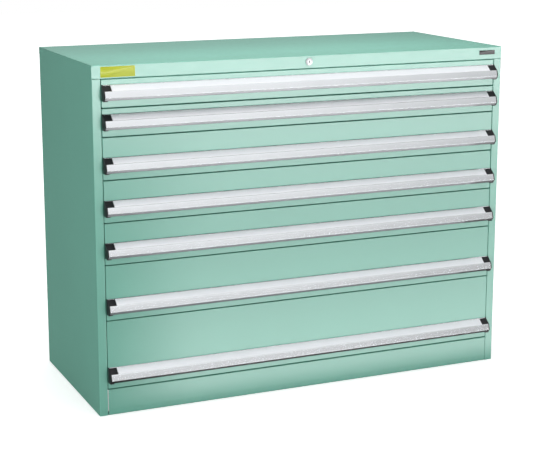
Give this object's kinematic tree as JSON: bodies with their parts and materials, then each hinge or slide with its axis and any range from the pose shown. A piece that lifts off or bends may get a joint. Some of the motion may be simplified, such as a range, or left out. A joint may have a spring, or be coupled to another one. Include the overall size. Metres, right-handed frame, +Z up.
{
  "type": "industrial drawer cabinet",
  "caption": "Wide sheet steel drawer cabinet with full-width extruded handles, telescopic slides and a central key lock that moves a locking bar.",
  "frame": {"origin": "bottom centre of the bounding box, handles included, on the floor", "axes": "+X to the right seen from the front, +Y to the back, +Z up; the drawers open towards -Y"},
  "size_m": [1.3, 0.578, 1],
  "materials": {
    "mint_paint": "fine-textured satin powder coat",
    "galvanised_steel": "zinc plated sheet",
    "slide_steel": "bright zinc plated",
    "anodised_aluminium": "satin anodised",
    "black_plastic": "fine moulded grain",
    "lock_chrome": "polished"
  },
  "bodies": {
    "cabinet": {"side_panel_left": "mint_paint", "side_panel_right": "mint_paint", "top_panel": "mint_paint", "back_panel": "mint_paint", "bottom_panel": "mint_paint", "plinth_panel": "mint_paint", "runner_frame_left": "galvanised_steel", "runner_frame_right": "galvanised_steel", "lock_barrel": "lock_chrome"},
    "lock_plug": {"lock_plug": "lock_chrome"},
    "locking_bar": {"locking_bar": "galvanised_steel"},
    "drawer_1": {"drawer_1_front": "mint_paint", "drawer_1_tray": "galvanised_steel", "drawer_1_handle": "anodised_aluminium", "drawer_1_handle_cap_left": "black_plastic", "drawer_1_handle_cap_right": "black_plastic"},
    "drawer_1_rails": {"drawer_1_rail_left": "slide_steel", "drawer_1_rail_right": "slide_steel"},
    "drawer_2": {"drawer_2_front": "mint_paint", "drawer_2_tray": "galvanised_steel", "drawer_2_handle": "anodised_aluminium", "drawer_2_handle_cap_left": "black_plastic", "drawer_2_handle_cap_right": "black_plastic"},
    "drawer_2_rails": {"drawer_2_rail_left": "slide_steel", "drawer_2_rail_right": "slide_steel"},
    "drawer_3": {"drawer_3_front": "mint_paint", "drawer_3_tray": "galvanised_steel", "drawer_3_handle": "anodised_aluminium", "drawer_3_handle_cap_left": "black_plastic", "drawer_3_handle_cap_right": "black_plastic"},
    "drawer_3_rails": {"drawer_3_rail_left": "slide_steel", "drawer_3_rail_right": "slide_steel"},
    "drawer_4": {"drawer_4_front": "mint_paint", "drawer_4_tray": "galvanised_steel", "drawer_4_handle": "anodised_aluminium", "drawer_4_handle_cap_left": "black_plastic", "drawer_4_handle_cap_right": "black_plastic"},
    "drawer_4_rails": {"drawer_4_rail_left": "slide_steel", "drawer_4_rail_right": "slide_steel"},
    "drawer_5": {"drawer_5_front": "mint_paint", "drawer_5_tray": "galvanised_steel", "drawer_5_handle": "anodised_aluminium", "drawer_5_handle_cap_left": "black_plastic", "drawer_5_handle_cap_right": "black_plastic"},
    "drawer_5_rails": {"drawer_5_rail_left": "slide_steel", "drawer_5_rail_right": "slide_steel"},
    "drawer_6": {"drawer_6_front": "mint_paint", "drawer_6_tray": "galvanised_steel", "drawer_6_handle": "anodised_aluminium", "drawer_6_handle_cap_left": "black_plastic", "drawer_6_handle_cap_right": "black_plastic"},
    "drawer_6_rails": {"drawer_6_rail_left": "slide_steel", "drawer_6_rail_right": "slide_steel"},
    "drawer_7": {"drawer_7_front": "mint_paint", "drawer_7_tray": "galvanised_steel", "drawer_7_handle": "anodised_aluminium", "drawer_7_handle_cap_left": "black_plastic", "drawer_7_handle_cap_right": "black_plastic"},
    "drawer_7_rails": {"drawer_7_rail_left": "slide_steel", "drawer_7_rail_right": "slide_steel"}
  },
  "joints": [
    {"name": "lock_turn", "type": "hinge", "parent": "cabinet", "child": "lock_plug", "pos_m": [0, -0.261, 0.982], "axis": [0, 1, 0], "range_deg": [0, 90]},
    {"name": "locking_bar_slide", "type": "slide", "parent": "cabinet", "child": "locking_bar", "axis": [-1, 0, 0], "range_m": [0, 0.0099]},
    {"name": "drawer_1_slide", "type": "slide", "parent": "cabinet", "child": "drawer_1", "axis": [0, -1, 0], "range_m": [0, 0.47]},
    {"name": "drawer_1_rails_slide", "type": "slide", "parent": "cabinet", "child": "drawer_1_rails", "axis": [0, -1, 0], "range_m": [0, 0.235]},
    {"name": "drawer_2_slide", "type": "slide", "parent": "cabinet", "child": "drawer_2", "axis": [0, -1, 0], "range_m": [0, 0.47]},
    {"name": "drawer_2_rails_slide", "type": "slide", "parent": "cabinet", "child": "drawer_2_rails", "axis": [0, -1, 0], "range_m": [0, 0.235]},
    {"name": "drawer_3_slide", "type": "slide", "parent": "cabinet", "child": "drawer_3", "axis": [0, -1, 0], "range_m": [0, 0.47]},
    {"name": "drawer_3_rails_slide", "type": "slide", "parent": "cabinet", "child": "drawer_3_rails", "axis": [0, -1, 0], "range_m": [0, 0.235]},
    {"name": "drawer_4_slide", "type": "slide", "parent": "cabinet", "child": "drawer_4", "axis": [0, -1, 0], "range_m": [0, 0.47]},
    {"name": "drawer_4_rails_slide", "type": "slide", "parent": "cabinet", "child": "drawer_4_rails", "axis": [0, -1, 0], "range_m": [0, 0.235]},
    {"name": "drawer_5_slide", "type": "slide", "parent": "cabinet", "child": "drawer_5", "axis": [0, -1, 0], "range_m": [0, 0.47]},
    {"name": "drawer_5_rails_slide", "type": "slide", "parent": "cabinet", "child": "drawer_5_rails", "axis": [0, -1, 0], "range_m": [0, 0.235]},
    {"name": "drawer_6_slide", "type": "slide", "parent": "cabinet", "child": "drawer_6", "axis": [0, -1, 0], "range_m": [0, 0.47]},
    {"name": "drawer_6_rails_slide", "type": "slide", "parent": "cabinet", "child": "drawer_6_rails", "axis": [0, -1, 0], "range_m": [0, 0.235]},
    {"name": "drawer_7_slide", "type": "slide", "parent": "cabinet", "child": "drawer_7", "axis": [0, -1, 0], "range_m": [0, 0.47]},
    {"name": "drawer_7_rails_slide", "type": "slide", "parent": "cabinet", "child": "drawer_7_rails", "axis": [0, -1, 0], "range_m": [0, 0.235]}
  ],
  "couplings": [
    {"joint": "lock_turn", "follows": "locking_bar_slide", "rad_per_m": 158.68},
    {"joint": "drawer_1_rails_slide", "follows": "drawer_1_slide", "ratio": 0.5},
    {"joint": "drawer_2_rails_slide", "follows": "drawer_2_slide", "ratio": 0.5},
    {"joint": "drawer_3_rails_slide", "follows": "drawer_3_slide", "ratio": 0.5},
    {"joint": "drawer_4_rails_slide", "follows": "drawer_4_slide", "ratio": 0.5},
    {"joint": "drawer_5_rails_slide", "follows": "drawer_5_slide", "ratio": 0.5},
    {"joint": "drawer_6_rails_slide", "follows": "drawer_6_slide", "ratio": 0.5},
    {"joint": "drawer_7_rails_slide", "follows": "drawer_7_slide", "ratio": 0.5}
  ]
}
